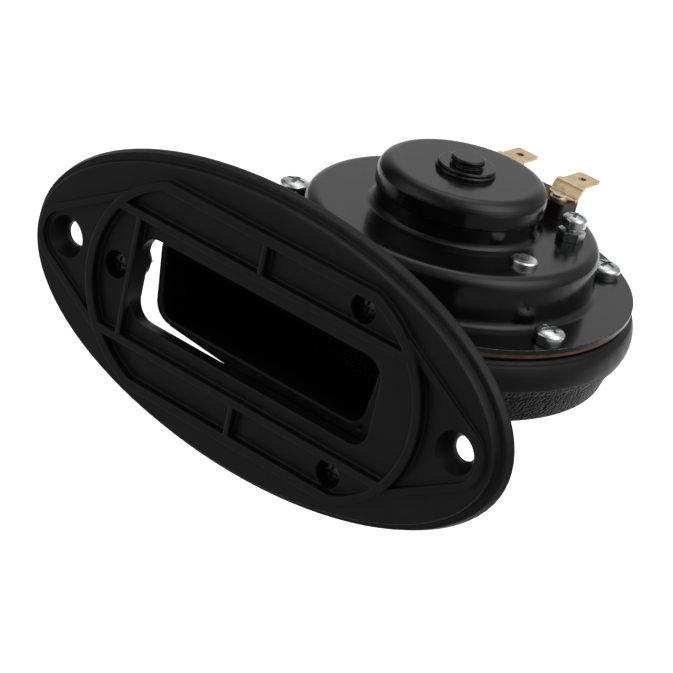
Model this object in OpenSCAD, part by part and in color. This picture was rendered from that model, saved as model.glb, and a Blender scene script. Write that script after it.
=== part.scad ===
// Drop-in boat horn: an electric disc horn and its snail trumpet behind an oval flange plate.
// X runs along the plate, Y into the boat and Z up.
// The origin is the centre of the plate's mounting face.

/* [Flange plate] */
// Length of the plate
plate_w = 143.8; // [142:0.1:150]
// Height of the plate
plate_h = 72.3; // [70.5:0.1:78]
// Depth from the floor's front to the mounting face
plate_depth = 4.85; // [4.6:0.05:6]
// Thickness of the floor
floor_t = 3.5; // [3:0.1:4]
// Width of the sloping rim at the plate's ends
rim_end_w = 3.05; // [2.7:0.05:3.6]
// Width of the sloping rim at the top and bottom
rim_top_w = 2.9; // [2.6:0.1:3.4]
// Thickness of the wall round the hollow back
skirt_w = 3.4; // [2.5:0.1:5]

/* [Mounting holes] */
// Distance between the two mounting holes
mount_pitch = 119; // [117:0.1:121]
// Diameter of each mounting hole
mount_hole_d = 6; // [4:0.1:6.5]
// Diameter of the countersinks
sink_d = 10.5; // [9:0.1:11.5]
// Depth of the countersinks
sink_depth = 3.8; // [2.5:0.1:4.2]
// Radius of the plate's island round each hole
end_r = 8.35; // [8:0.05:9]
// Height of the low rib round that island
end_rib_h = 1.15; // [0.8:0.05:1.6]
// Width of that rib
end_rib_w = 1.9; // [1.4:0.1:2.4]

/* [Ribs] */
// Height of the ribs above the floor
rib_h = 2.2; // [1.2:0.1:3]
// Width of the inner ribs
rib_w = 1.9; // [1.2:0.1:2.4]
// Width of the curved ribs at the field's ends
arc_rib_w = 2.2; // [1.6:0.1:2.8]
// Width of the two long outer ribs
outer_rib_w = 2.4; // [1.5:0.1:3]
// Width of the thin dividing ribs
divider_w = 1.3; // [0.8:0.1:1.8]
// Half height of the ribbed field
field_z = 26.76; // [26:0.1:28]
// Radius of the arcs at the field's ends
field_r = 28.2; // [27.6:0.1:29.5]
// Distance of the arcs' centres from the middle
field_x = 22.2; // [21:0.1:23]
// Height of the inner ribs above the middle
inner_rib_z = 15.05; // [14:0.05:16]
// Place of the dividing ribs in the two strips
divider_x = 0.35; // [-5:0.05:5]

/* [Opening] */
// Width of the opening
opening_w = 73; // [71:0.5:75]
// Height of the opening
opening_h = 22.2; // [21:0.1:24]
// Corner radius of the opening
opening_r = 5; // [2:0.5:8]

/* [Plate screws] */
// Places of the three screws that hold the trumpet, as X and Z
plate_screw_at = [[-43.1, 0], [27.8, 20.7], [28.4, -20.9]];
// Diameter of the counterbores
counterbore_d = 6.8; // [6.2:0.1:7.4]
// Depth of the counterbores
counterbore_depth = 3.4; // [2.8:0.1:3.6]
// How far the bosses stand behind the floor
boss_h = 1.1; // [0.8:0.1:2]
// Radius of the bosses and of the trumpet's lugs
boss_r = 4.3; // [4:0.1:4.8]
// Diameter of the plate screws
plate_screw_d = 3; // [2.5:0.1:3.5]
// Diameter of the plate screws' heads
plate_head_d = 5.6; // [5:0.1:6]
// Height of the plate screws' heads
plate_head_h = 1.9; // [1.5:0.1:2.3]
// Width across flats of the plate nuts
plate_nut_af = 5.5; // [5:0.1:6]
// Height of the plate nuts
plate_nut_h = 2; // [1.6:0.1:2.6]

/* [Trumpet] */
// Distance from the mounting face to the horn's axis
horn_y = 66.65; // [65:0.05:71]
// Height of the trumpet's rim above the plate's middle
rim_z = 1.8; // [1.2:0.1:3]
// Depth of the bowl below the rim
bowl_depth = 20.9; // [20:0.1:23]
// Height of the smooth band below the rim
band_h = 8.8; // [8:0.1:10]
// Wall of the bowl
bowl_wall = 2; // [1.6:0.1:2.4]
// Gap between the rim and the throat plate
chamber_h = 2; // [1.8:0.1:2.6]
// Width of the ledge that carries the throat plate
ledge_w = 2; // [1.2:0.1:3]
// Height of that ledge
ledge_h = 1; // [0.8:0.1:2]
// Wall of the snail's vanes
vane_w = 1.8; // [1.2:0.1:2.4]
// Radius where the snail starts, round the throat
snail_r = 11; // [9.5:0.1:14]

/* [Mouth] */
// Half width of the mouth near its top
mouth_top_w = 34.5; // [33.5:0.1:35.2]
// Half width of the mouth near its bottom
mouth_bottom_w = 33; // [32:0.1:34]
// Half height of the mouth
mouth_z = 10.1; // [9.5:0.1:10.4]
// Radius of the mouth's upper corners
mouth_top_corner = 2.4; // [1.8:0.1:4]
// Radius of the mouth's lower corners
mouth_corner = 5.5; // [4:0.1:6.5]
// Wall of the neck
neck_wall = 1.7; // [1.4:0.1:2.2]
// Half width of the neck where it enters the bowl
neck_w = 32; // [30:0.1:33]
// Thickness of the flange with the three lugs
lug_t = 3; // [2:0.1:3.4]

/* [Diaphragm stack] */
// Thickness of the lower gasket
lower_gasket_t = 0.55; // [0.4:0.05:1]
// Thickness of the diaphragm
diaphragm_t = 0.35; // [0.25:0.05:0.5]
// Thickness of the upper gasket
upper_gasket_t = 1.1; // [0.6:0.05:1.4]
// Height of the diaphragm's dished centre above its rim
dish_h = 1; // [0.6:0.1:1.3]
// Radius of the throat hole
throat_r = 8.4; // [7.5:0.1:9]
// Thickness of the throat plate
throat_t = 1.6; // [1.2:0.1:2]

/* [Housing] */
// Thickness of the stamped sheet
sheet_t = 1.2; // [1:0.05:1.4]
// Radius of the step
step_r = 36.7; // [36:0.1:37.5]
// Height of the step above the gasket
step_rise = 13.55; // [13:0.05:14.5]
// Radius of the dome
dome_r = 21.1; // [20.6:0.1:22]
// Height of the dome above the gasket
dome_rise = 25.45; // [24:0.05:27]
// Corner radius of the dome
dome_corner = 3.6; // [3:0.1:4.4]
// Corner radius of the step
step_corner = 3; // [2:0.1:3.4]
// Radius of the hollow corners at the foot of the dome and of the step
foot_corner = 1.8; // [1.4:0.1:2.2]

/* [Rim screws] */
// Angle of the first screw, seen from above
rim_screw_start = -16.3; // [-22:0.1:-12]
// Angle from one screw to the next
rim_screw_pitch = 70; // [68:0.5:72]
// Diameter of the rim screws
rim_screw_d = 4; // [3.5:0.1:4.4]
// Diameter of their heads
rim_head_d = 7.7; // [7.2:0.1:8.4]
// Height of their heads
rim_head_h = 2; // [1.6:0.1:2.6]
// Length of the rim screws below their heads
rim_screw_l = 7.1; // [6:0.1:7.2]
// Height of the spacer under the raised head
spacer_h = 4.2; // [2:0.1:5]

/* [Magnet] */
// Radius of the stud on the dome
stud_r = 4.2; // [3.5:0.1:4.6]
// Height of the stud above the dome
stud_h = 3.6; // [3.2:0.1:6]
// Radius of the washer and of the round nut under the stud's end
core_nut_r = 7.5; // [6.5:0.1:8]
// Thickness of that washer
core_washer_t = 0.8; // [0.6:0.1:1]
// Thickness of that nut
core_nut_t = 0.9; // [0.8:0.1:2]
// Radius of the pole core
core_r = 7.6; // [6.5:0.1:8]
// Height of the pole face above the gasket
pole_rise = 6.3; // [6.2:0.1:6.8]
// Radius of the pole's foot
foot_r = 10.5; // [10:0.1:12]
// Thickness of the pole's foot
foot_t = 1.2; // [1:0.1:1.5]
// Wall of the bobbin
bobbin_wall = 1.2; // [0.8:0.1:1.6]

/* [Armature] */
// Air gap between the armature and the pole
air_gap = 0.8; // [0.8:0.05:1]
// How far the armature's edge lies inside the bobbin's
armature_inset = 3; // [2.6:0.1:3.4]
// Thickness of the armature
armature_t = 3.5; // [3:0.1:3.8]
// Radius of the armature's hub
hub_r = 6; // [5:0.1:7]
// Radius of the armature's stud
armature_stud_r = 2.5; // [2:0.1:2.6]
// Radius of the armature's washer
armature_washer_r = 8; // [7:0.1:9]
// Thickness of the armature's washer
armature_washer_t = 0.8; // [0.5:0.1:1]
// Width across flats of the armature's nut
armature_nut_af = 8; // [7:0.1:9]
// Height of the armature's nut
armature_nut_h = 2.4; // [2:0.1:2.6]

/* [Breaker] */
// Place of the breaker's rivet along the plate, as a share of the way across the step
rivet_share = 0.37; // [0.34:0.01:0.42]
// Place of the breaker's rivet from the horn's axis towards the back
rivet_y = -7; // [-8:0.1:-5]
// Radius of the rivet's head
rivet_head_r = 3.25; // [2.8:0.05:3.5]
// Height of the rivet's head
rivet_head_h = 1.2; // [0.8:0.1:1.6]
// Radius of the rivet's shank
rivet_r = 1.6; // [1.4:0.1:1.8]
// Width of the breaker's leaves
leaf_w = 7; // [6:0.1:7.4]
// Thickness of the fixed leaf
fixed_t = 0.8; // [0.6:0.1:1]
// Thickness of the moving leaf
moving_t = 0.5; // [0.4:0.05:0.6]
// Distance from the rivet to the contacts
contact_reach = 10; // [9:0.1:11]
// Radius of the contacts
contact_r = 1.6; // [1.2:0.1:2]

/* [Tone screw] */
// Direction of the tone screw from the horn's axis
tone_angle = 36.9; // [35:0.1:39]
// Distance of the tone screw from the step's edge
tone_inset = 8.05; // [7.6:0.05:8.4]
// Diameter of the tone screw
tone_d = 3; // [2.5:0.1:3.5]
// Diameter of its head
tone_head_d = 6.2; // [5.6:0.1:7]
// Height of its head
tone_head_h = 1.9; // [1.6:0.1:2.6]
// Gap between the head and the lock nut
tone_head_gap = 2.2; // [1:0.1:3]
// Width across flats of the lock nut
lock_nut_af = 6; // [5.5:0.1:7]
// Height of the lock nut
lock_nut_h = 2.4; // [2:0.1:3]

/* [Terminals] */
// Height of the terminal block
block_h = 3.9; // [3:0.1:5]
// Distance from the block to the foot of the dome
block_gap = 1.8; // [1.2:0.1:2.4]
// Distance from the block to the step's edge
block_inset = 4.9; // [4.6:0.1:5.4]
// Place of the block's middle
block_x = 2.35; // [1:0.05:3]
// Width of the spade blades
blade_w = 6.35; // [6.3:0.05:6.4]
// Thickness of the spade blades
blade_t = 0.8; // [0.7:0.05:0.9]
// Length of the spade blades
blade_l = 9.3; // [8.5:0.1:10]
// Width of the terminals' feet
terminal_foot_w = 8.2; // [7.4:0.1:8.8]
// Height of the blades above the block
terminal_rise = 2.9; // [2.4:0.1:4]
// How much lower the left terminal is bent
left_drop = 0.8; // [0:0.1:1]
// How much shorter its blade is
left_short = 1.2; // [0:0.1:1.6]

/* [Hidden] */

$fn = 64;
// Small amount by which cuts run past a face and joined solids overlap
over = 0.2;
// Gap between a fixed shank and the hole that it passes
shank_gap = 0.25;
// Gap between a turning shank and its hole
running_gap = 0.06;
// Gap under a nut or head that turns
turning_gap = 0.05;
// Gap between the plate's opening and the lugs' flange behind it
flange_edge = 4;

// Depths of the plate
floor_y = -plate_depth;
floor_back_y = floor_y + floor_t;
boss_y = floor_back_y + boss_h;
lug_back_y = boss_y + lug_t;
seat_y = floor_y + counterbore_depth;
mouth_y = boss_y - 0.1;
plate_screw_tip = lug_back_y + plate_nut_h + 1;

// Heights of the horn, from the trumpet's rim upwards
diaphragm_z = rim_z + lower_gasket_t;
gasket_z = diaphragm_z + diaphragm_t;
housing_z = gasket_z + upper_gasket_t;
flange_top = housing_z + sheet_t;
step_z = housing_z + step_rise;
step_under = step_z - sheet_t;
dome_z = housing_z + dome_rise;
dome_under = dome_z - sheet_t;
pole_z = housing_z + pole_rise;
foot_top = pole_z + foot_t;
dish_z = diaphragm_z + dish_h;
armature_top = pole_z - air_gap;
armature_bottom = armature_top - armature_t;
washer_z = dish_z - armature_washer_t;
armature_nut_z = washer_z - armature_nut_h;
armature_stud_z = armature_nut_z - 0.4;

// Levels below the rim
throat_top = rim_z - chamber_h;
throat_bottom = throat_top - throat_t;
ring_bottom = throat_bottom - ledge_h;
bowl_z = rim_z - bowl_depth;
kink_z = rim_z - band_h;

// Radii that follow from the step's. The rim screws stand just outside the step's hollow foot.
head_clear = 0.15;
rim_screw_r = step_r + foot_corner + rim_head_d / 2 + head_clear;
housing_r = rim_screw_r + 5.1;
rim_r = housing_r - 0.4;
band_r = rim_r + 2.1;
bowl_inner_r = band_r - 2.9;
clamp_r = rim_screw_r - 4.7;
diaphragm_r = housing_r - 1.7;
upper_gasket_r = housing_r - 0.6;
raised_index = 3;

// Neck of the dome, below the bead pressed round it
neck_r = dome_r - 0.8;
bead_z = dome_z - 6.55;
bead_h = 0.7;

// Places on the step, from the horn's axis
rivet_at = [mix(neck_r + foot_corner, step_r - step_corner, rivet_share), rivet_y];
tone_at = (step_r - tone_inset) * [cos(tone_angle), sin(tone_angle)];
block_y = neck_r + foot_corner + block_gap;
block_d = step_r - block_inset - block_y;

// Magnet
leaf_clear = 3.35;
bobbin_r = rivet_at[0] - leaf_w / 2 - leaf_clear;
armature_r = bobbin_r - armature_inset;

// Breaker levels, from the step's underside down
leaf_play = 0.25;
upper_insulator_t = 1.5;
middle_insulator_t = 0.9;
lower_insulator_t = 0.6;
rivet_tail_t = 0.8;
insulator_r = 3.2;
moving_top = step_under - upper_insulator_t - leaf_play;
moving_bottom = moving_top - moving_t;
fixed_top = moving_bottom - leaf_play - middle_insulator_t;
fixed_bottom = fixed_top - fixed_t;
rivet_tail_z = fixed_bottom - lower_insulator_t;
push_gap = 0.3;
pad_t = 0.5;
pad_z = armature_top + push_gap;
finger_z = pad_z + pad_t;
// The finger reaches the armature's edge at this distance from the rivet along the leaf
finger_reach = 8.3;
finger_w = 4;
finger_inner = armature_r - 1.6;
finger_outer = bobbin_r + 1;

// Terminals
block_top = step_z + block_h;
terminal_pitch = step_r * 0.504;
block_w = terminal_pitch + 6;
terminal_x = [block_x - terminal_pitch / 2, block_x + terminal_pitch / 2];
terminal_rivet_r = 1.2;
terminal_head_r = 1.7;
bend_r = 1.3;
riser_y = block_y + block_d - 2.3;
terminal_rivet_y = riser_y - bend_r - terminal_head_r;
terminal_foot_y = terminal_rivet_y - 2;

function mix(a, b, t) = a + (b - a) * t;
function eased(t) = t * t * (3 - 2 * t);
function clamped(t) = max(0, min(1, t));
function backwards(p) = [for (i = [len(p) - 1:-1:0]) p[i]];

// Points of an arc round c from angle a to angle b
function arc(c, r, a, b, n = 8) = [
    for (i = [0:n]) c + r * [cos(mix(a, b, i / n)), sin(mix(a, b, i / n))]
];

// Ring of an ellipse in the XZ plane at depth y
function oval_ring(y, a, b, n = 96) = [for (i = [0:n - 1]) [a * cos(360 * i / n), y, b * sin(360 * i / n)]];

// Ring of a rounded trapezoid in the XZ plane at depth y, with its upper and lower corner radius
function mouth_ring(y, top_w, bottom_w, top, bottom, top_r, r) = [
    for (p = concat(
        arc([top_w - top_r, top - top_r], top_r, 0, 90, 6),
        arc([top_r - top_w, top - top_r], top_r, 90, 180, 6),
        arc([r - bottom_w, bottom + r], r, 180, 270, 6),
        arc([bottom_w - r, bottom + r], r, 270, 360, 6)
    )) [p[0], y, p[1]]
];

// Solid through a row of rings with equal numbers of points
module loft(rings) {
    n = len(rings[0]);
    last = len(rings) - 1;
    polyhedron(
        points = [for (ring = rings) each ring],
        faces = concat(
            [[for (j = [n - 1:-1:0]) j]],
            [[for (j = [0:n - 1]) last * n + j]],
            [for (i = [0:last - 1]) for (j = [0:n - 1])
                [i * n + j, i * n + (j + 1) % n, (i + 1) * n + (j + 1) % n]],
            [for (i = [0:last - 1]) for (j = [0:n - 1])
                [i * n + j, (i + 1) * n + (j + 1) % n, (i + 1) * n + j]]
        )
    );
}

// Outline with X and Z coordinates, made solid from depth y0 to depth y1
module along_y(y0, y1) {
    translate([0, y1, 0]) rotate([90, 0, 0]) linear_extrude(y1 - y0) children();
}

// Round bar along Y at X and Z, from y0 to y1
module bar_y(at, r, y0, y1, r1 = -1) {
    translate([at[0], y0, at[1]]) rotate([-90, 0, 0])
        cylinder(h = y1 - y0, r1 = r, r2 = r1 < 0 ? r : r1);
}

module rounded_rect(w, h, r) {
    square([w - 2 * r, h], center = true);
    square([w, h - 2 * r], center = true);
    for (sx = [-1, 1], sy = [-1, 1])
        translate([sx * (w / 2 - r), sy * (h / 2 - r)]) circle(r);
}

// Places a piece of the horn on the horn's axis
module on_horn() {
    translate([0, horn_y, 0]) children();
}

// Hexagon prism with a bore
module nut(af, h, bore_r) {
    difference() {
        cylinder(h = h, r = af / sqrt(3), $fn = 6);
        translate([0, 0, -over]) cylinder(h = h + 2 * over, r = bore_r);
    }
}

// Low head with a short wall, a lens-shaped top and a cross recess, standing on z = 0
module pan_head(d, h) {
    recess_w = d * 0.14;
    recess_l = d * 0.6;
    wall = h * 0.3;
    difference() {
        rotate_extrude() polygon(concat(
            [[0, 0], [d / 2, 0]],
            [for (i = [0:8]) let (a = i * 90 / 8) [d / 2 * cos(a), wall + (h - wall) * sin(a)]]
        ));
        for (a = [0, 90])
            rotate(a) translate([-recess_l / 2, -recess_w / 2, h * 0.45]) cube([recess_l, recess_w, h]);
    }
}

module flange_plate() color("#1b1b1c") {
    a = plate_w / 2;
    b = plate_h / 2;
    rim_ratio = rim_top_w / rim_end_w;
    // Share of the rim's width and share of the plate's depth, from the margin out to the edge
    rim = [[1, 0], [0.93, 0.03], [0.89, 0.09], [0.79, 0.5], [0.74, 0.53], [0.27, 0.55], [0.21, 0.6], [0, 1]];
    difference() {
        union() {
            loft([for (p = rim) oval_ring(
                floor_y + p[1] * plate_depth,
                a - p[0] * rim_end_w,
                b - p[0] * rim_end_w * rim_ratio
            )]);
            along_y(floor_y - rib_h, floor_y + over) field_ribs();
            along_y(floor_y - end_rib_h, floor_y + over) end_ribs();
        }
        hollow_back(a, b);
        along_y(floor_y - rib_h - over, over) rounded_rect(opening_w, opening_h, opening_r);
        for (p = plate_screw_at) {
            bar_y(p, counterbore_d / 2, floor_y - rib_h - over, seat_y);
            bar_y(p, plate_screw_d / 2 + shank_gap, floor_y, over);
        }
        for (side = [-1, 1]) mounting_hole([side * mount_pitch / 2, 0]);
    }
}

// Space behind the floor, which leaves the skirt, the pads of the mounting holes and the three bosses
module hollow_back(a, b) {
    difference() {
        loft([
            oval_ring(floor_back_y, a - skirt_w - 0.3, b - skirt_w - 0.3),
            oval_ring(over, a - skirt_w, b - skirt_w)
        ]);
        for (side = [-1, 1]) bar_y([side * mount_pitch / 2, 0], end_r, floor_y, over * 2);
        along_y(floor_y, over * 2) difference() {
            square([plate_w, end_r], center = true);
            square([mount_pitch, end_r * 2], center = true);
        }
        for (p = plate_screw_at) bar_y(p, boss_r, floor_y, boss_y);
    }
}

module mounting_hole(at) {
    bar_y(at, mount_hole_d / 2, floor_y - rib_h, over);
    bar_y(at, sink_d / 2, floor_y, floor_y + sink_depth, mount_hole_d / 2);
    bar_y(at, sink_d / 2, floor_y - rib_h, floor_y + over / 10);
}

// Long field with round ends, drawn in by the widths of its straight and its curved border
module field(straight, curved) {
    intersection() {
        union() {
            for (side = [-1, 1]) translate([side * field_x, 0]) circle(field_r - curved);
            square([2 * field_x, 2 * field_r], center = true);
        }
        square([plate_w, 2 * (field_z - straight)], center = true);
    }
}

// Drop-shaped ends that run from just inside the field's arcs to the mounting holes
module field_ends(inset) {
    from_r = field_r - 0.8;
    lean = (from_r - end_r) / (mount_pitch / 2 - field_x);
    n = [lean, sqrt(1 - lean * lean)];
    inner = [field_x, 0] + n * (from_r - inset);
    outer = [mount_pitch / 2, 0] + n * (end_r - inset);
    for (side = [0, 1]) mirror([side, 0]) {
        translate([mount_pitch / 2, 0]) circle(end_r - inset);
        polygon([inner, outer, [outer[0], -outer[1]], [inner[0], -inner[1]]]);
    }
}

module end_ribs() {
    difference() {
        field_ends(0);
        field_ends(end_rib_w);
        field(outer_rib_w / 2, arc_rib_w / 2);
    }
}

module field_ribs() {
    difference() {
        field(0, 0);
        difference() {
            field(outer_rib_w, arc_rib_w);
            for (side = [-1, 1]) translate([0, side * (inner_rib_z + rib_w / 2)])
                square([plate_w, rib_w], center = true);
            for (side = [-1, 1]) translate([divider_x - divider_w / 2, side * (inner_rib_z + field_z) / 2])
                square([divider_w, field_z - inner_rib_z], center = true);
            translate([-opening_w / 2 - divider_w, -inner_rib_z]) square([divider_w, 2 * inner_rib_z]);
        }
    }
}

module plate_screws() color("#b9bdb4") for (p = plate_screw_at) {
    translate([p[0], seat_y, p[1]]) rotate([90, 0, 0]) pan_head(plate_head_d, plate_head_h);
    bar_y(p, plate_screw_d / 2, seat_y - over / 2, plate_screw_tip);
}

module plate_nuts() color("#a9ada6") for (p = plate_screw_at)
    translate([p[0], lug_back_y, p[1]]) rotate([-90, 0, 0])
        nut(plate_nut_af, plate_nut_h, plate_screw_d / 2);

// Bowl: a flat bottom that sweeps up to a corner, then a leaning wall up to the smooth band
sweep_r = 30;
sweep_x = band_r - 20.5;
sweep_turn = 17.3;
corner_r = 2.1;
corner_at = [band_r - 6.3, bowl_z + 5.2];
wall_top = [band_r - 2.3, kink_z - 0.5];
band_curve = 7.8;
band_edge = 0.5;
band_turn = asin((band_h / 2 - band_edge) / band_curve);
rim_chamfer = 0.6;

// Outline of the bowl from its bottom to the band, drawn in by a wall
function bowl_outline(wall) = concat(
    [[0, bowl_z + wall]],
    arc([sweep_x, bowl_z + sweep_r], sweep_r - wall, -90, sweep_turn - 90, 6),
    arc(corner_at, max(0.1, corner_r - wall), sweep_turn - 90, -8, 4),
    [wall_top - [wall, 0]]
);

module bowl_solid() {
    rotate_extrude($fn = 128) polygon(concat(
        bowl_outline(0),
        arc([band_r - band_curve, rim_z - band_h / 2 - band_edge], band_curve, -band_turn, band_turn, 8),
        [[rim_r + 0.2, rim_z - rim_chamfer], [rim_r - 0.3, rim_z], [0, rim_z]]
    ));
}

// Space of the snail below the throat plate
module snail_space() {
    rotate_extrude($fn = 128) polygon(concat(
        bowl_outline(bowl_wall),
        [[bowl_inner_r, ring_bottom], [0, ring_bottom]]
    ));
}

// Middle line of the snail's vane, from the tongue at the throat round to the neck's left wall
snail_from = -60;
snail_to = 226;
snail_path = [for (i = [0:48]) let (a = mix(snail_from, snail_to, i / 48))
    mix(snail_r, bowl_inner_r, pow(i / 48, 1.15)) * [cos(a), sin(a)]];
tongue = snail_path[0];
tongue_path = [tongue, tongue + [11, -9], tongue + [20, -18], [neck_w - neck_wall / 2, -36]];

function side_of(path, i) =
    let (d = path[min(i + 1, len(path) - 1)] - path[max(i - 1, 0)]) [-d[1], d[0]] / norm(d);

// Outline of a wall of width w along a path
function wall_outline(path, w) = concat(
    [for (i = [0:len(path) - 1]) path[i] - side_of(path, i) * w / 2],
    [for (i = [len(path) - 1:-1:0]) path[i] + side_of(path, i) * w / 2]
);

module snail_vanes() {
    translate([0, 0, bowl_z]) linear_extrude(bowl_depth) {
        polygon(wall_outline(snail_path, vane_w));
        polygon(wall_outline(tongue_path, vane_w));
        translate(tongue) circle(vane_w * 0.75, $fn = 32);
    }
}

neck_root_y = horn_y - sqrt(pow(bowl_inner_r, 2) - pow(neck_w, 2)) + 1.5;
neck_flat_y = horn_y - band_r - 1;
neck_steps = 10;
root_corner = 4;

// Ring of the neck at a depth, drawn in by a wall
function neck_ring(y, wall) =
    let (t = clamped((y - mouth_y) / (neck_root_y - mouth_y)))
    let (drop = eased(clamped((y - mouth_y) / (neck_flat_y - mouth_y))))
    mouth_ring(
        y,
        mix(mouth_top_w, neck_w, t) - wall,
        mix(mouth_bottom_w, neck_w - 0.8, t) - wall,
        mix(mouth_z, rim_z - 0.8, drop) - wall,
        mix(-mouth_z, bowl_z + 1.1, t) + wall,
        mix(mouth_top_corner, root_corner, t) - wall * 0.6,
        mix(mouth_corner, root_corner, t) - wall * 0.6
    );

lip = 0.5;

module neck_outside() {
    loft(concat(
        [neck_ring(mouth_y, lip), neck_ring(mouth_y + lip * 0.4, lip * 0.3)],
        [for (i = [0:neck_steps]) neck_ring(mix(mouth_y + lip, neck_root_y, i / neck_steps), 0)]
    ));
}

module neck_inside() {
    loft(concat(
        [neck_ring(mouth_y - over, neck_wall - lip), neck_ring(mouth_y + lip * 0.3, neck_wall - lip * 0.4)],
        [for (i = [0:neck_steps]) neck_ring(mix(mouth_y + lip * 1.5, neck_root_y + 1, i / neck_steps), neck_wall)]
    ));
}

// Flange with three lugs. It is open at the left and below, where the photograph shows daylight.
module lug_outline() {
    out = flange_edge;
    left = plate_screw_at[0];
    upper = plate_screw_at[1];
    lower = plate_screw_at[2];
    right_x = mouth_top_w + out;
    top_z = mouth_z + out;
    lap = 0.8;
    gusset_x = mouth_corner - mouth_bottom_w;
    knee_x = -8;
    for (p = plate_screw_at) translate(p) circle(boss_r);
    translate([left[0] - boss_r, 0]) square([boss_r * 1.5, top_z - boss_r]);
    translate([left[0], top_z - boss_r]) circle(boss_r);
    translate([left[0], mouth_z - lap]) square([right_x - out - left[0], out + lap]);
    translate([mouth_bottom_w - 1.4, -top_z]) square([out + 1.4, 2 * top_z]);
    translate([0, -top_z]) square([mouth_bottom_w, out + lap]);
    polygon([
        [gusset_x, lap - mouth_z], [gusset_x, -mouth_z], [knee_x, -mouth_z - 1.8],
        [0, -top_z], [over, -top_z], [over, lap - mouth_z]
    ]);
    for (p = [upper, lower]) let (s = sign(p[1]))
        polygon([
            [p[0] - 10, s * (top_z - 1)], [p[0] - boss_r * 0.8, p[1] + s * boss_r * 0.6],
            [p[0] + boss_r * 0.8, p[1] + s * boss_r * 0.6], [p[0] + 9, s * (top_z - 1)]
        ]);
}

module trumpet_shell() color("#202021") difference() {
    union() {
        on_horn() bowl_solid();
        neck_outside();
        along_y(boss_y, lug_back_y) lug_outline();
    }
    on_horn() difference() {
        snail_space();
        snail_vanes();
    }
    neck_inside();
    on_horn() {
        translate([0, 0, throat_bottom]) cylinder(h = bowl_depth, r = clamp_r, $fn = 128);
        translate([0, 0, ring_bottom - over]) cylinder(h = bowl_depth, r = clamp_r - ledge_w, $fn = 128);
        for (i = [0:4]) at_rim(i) translate([0, 0, ring_bottom - over])
            cylinder(h = rim_z - ring_bottom + 2 * over, r = rim_screw_d / 2);
    }
    for (p = plate_screw_at) bar_y(p, plate_screw_d / 2 + shank_gap, boss_y - over, lug_back_y + over);
}

module throat_plate() color("#8d9196") on_horn() translate([0, 0, throat_bottom]) difference() {
    cylinder(h = throat_t, r = clamp_r - 0.1, $fn = 128);
    translate([0, 0, -over]) cylinder(h = throat_t + 2 * over, r = throat_r);
}

// Places a child at a rim screw, by its number
module at_rim(i) {
    rotate(rim_screw_start + i * rim_screw_pitch) translate([rim_screw_r, 0, 0]) children();
}

// Flat ring under the housing's flange, with holes for the rim screws
module gasket(z, t, r) {
    on_horn() difference() {
        translate([0, 0, z]) cylinder(h = t, r = r, $fn = 128);
        translate([0, 0, z - over]) cylinder(h = t + 2 * over, r = clamp_r, $fn = 128);
        rim_holes(z - over, t + 2 * over);
    }
}

module rim_holes(z, h) {
    for (i = [0:4]) at_rim(i) translate([0, 0, z]) cylinder(h = h, r = rim_screw_d / 2 + shank_gap, $fn = 32);
}

module lower_gasket() color("#151515") gasket(rim_z, lower_gasket_t, diaphragm_r);

module upper_gasket() color("#6a3d22") gasket(gasket_z, upper_gasket_t, upper_gasket_r);

module diaphragm() color("#9aa0a6") on_horn() difference() {
    // The disc is flat where it is clamped and dished up to a flat centre
    slope_from = clamp_r - 4;
    slope_to = armature_washer_r + 3;
    line = [[slope_to, dish_h], [slope_from, 0], [diaphragm_r, 0]];
    rotate_extrude($fn = 128) translate([0, diaphragm_z]) polygon(concat(
        [[armature_stud_r + running_gap, dish_h]],
        line,
        [for (p = backwards(line)) p + [0, diaphragm_t]],
        [[armature_stud_r + running_gap, dish_h + diaphragm_t]]
    ));
    rim_holes(diaphragm_z - over, diaphragm_t + 2 * over);
}

// Line of the stamped sheet from the axis to the flange's edge, drawn in by a thickness
function sheet_line(t) = concat(
    [[0, dome_z - t]],
    arc([dome_r - dome_corner, dome_z - dome_corner], dome_corner - t, 90, 0),
    [[dome_r - t, bead_z + bead_h / 2], [neck_r - t, bead_z - bead_h / 2]],
    arc([neck_r + foot_corner, step_z + foot_corner], foot_corner + t, 180, 270),
    arc([step_r - step_corner, step_z - step_corner], step_corner - t, 90, 0),
    arc([step_r + foot_corner, flange_top + foot_corner], foot_corner + t, 180, 270),
    [[housing_r, flange_top - t]]
);

module housing() color("#0e0e0f") on_horn() difference() {
    rotate_extrude($fn = 160) polygon(concat(sheet_line(0), backwards(sheet_line(sheet_t))));
    translate([0, 0, dome_under - over]) cylinder(h = sheet_t + 2 * over, r = stud_r + shank_gap);
    rim_holes(housing_z - over, sheet_t + 2 * over);
    translate([rivet_at[0], rivet_at[1], step_under - over])
        cylinder(h = sheet_t + 2 * over, r = rivet_r + 0.05, $fn = 32);
    translate([rivet_at[0], rivet_at[1], step_z]) cylinder(h = 3, r = rivet_head_r + 0.15);
    translate([tone_at[0], tone_at[1], step_under - over])
        cylinder(h = sheet_t + 2 * over, r = tone_d / 2 + running_gap, $fn = 32);
    for (x = terminal_x) translate([x, terminal_rivet_y, step_under - over])
        cylinder(h = sheet_t + 2 * over, r = terminal_rivet_r + 0.6, $fn = 32);
}

// Rim screw whose head stands a lift above the flange
module rim_screw(lift) {
    translate([0, 0, flange_top + lift]) pan_head(rim_head_d, rim_head_h);
    translate([0, 0, flange_top - rim_screw_l]) cylinder(h = rim_screw_l + lift + over, r = rim_screw_d / 2);
}

module rim_screws() color("#c9d2d0") on_horn()
    for (i = [0:4]) if (i != raised_index) at_rim(i) rotate(35 * i) rim_screw(0);

module raised_rim_screw() color("#c9d2d0") on_horn() at_rim(raised_index) rim_screw(spacer_h);

module rim_spacer() color("#aab3b2") on_horn() at_rim(raised_index) translate([0, 0, flange_top])
    nut(7, spacer_h, rim_screw_d / 2);

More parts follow.
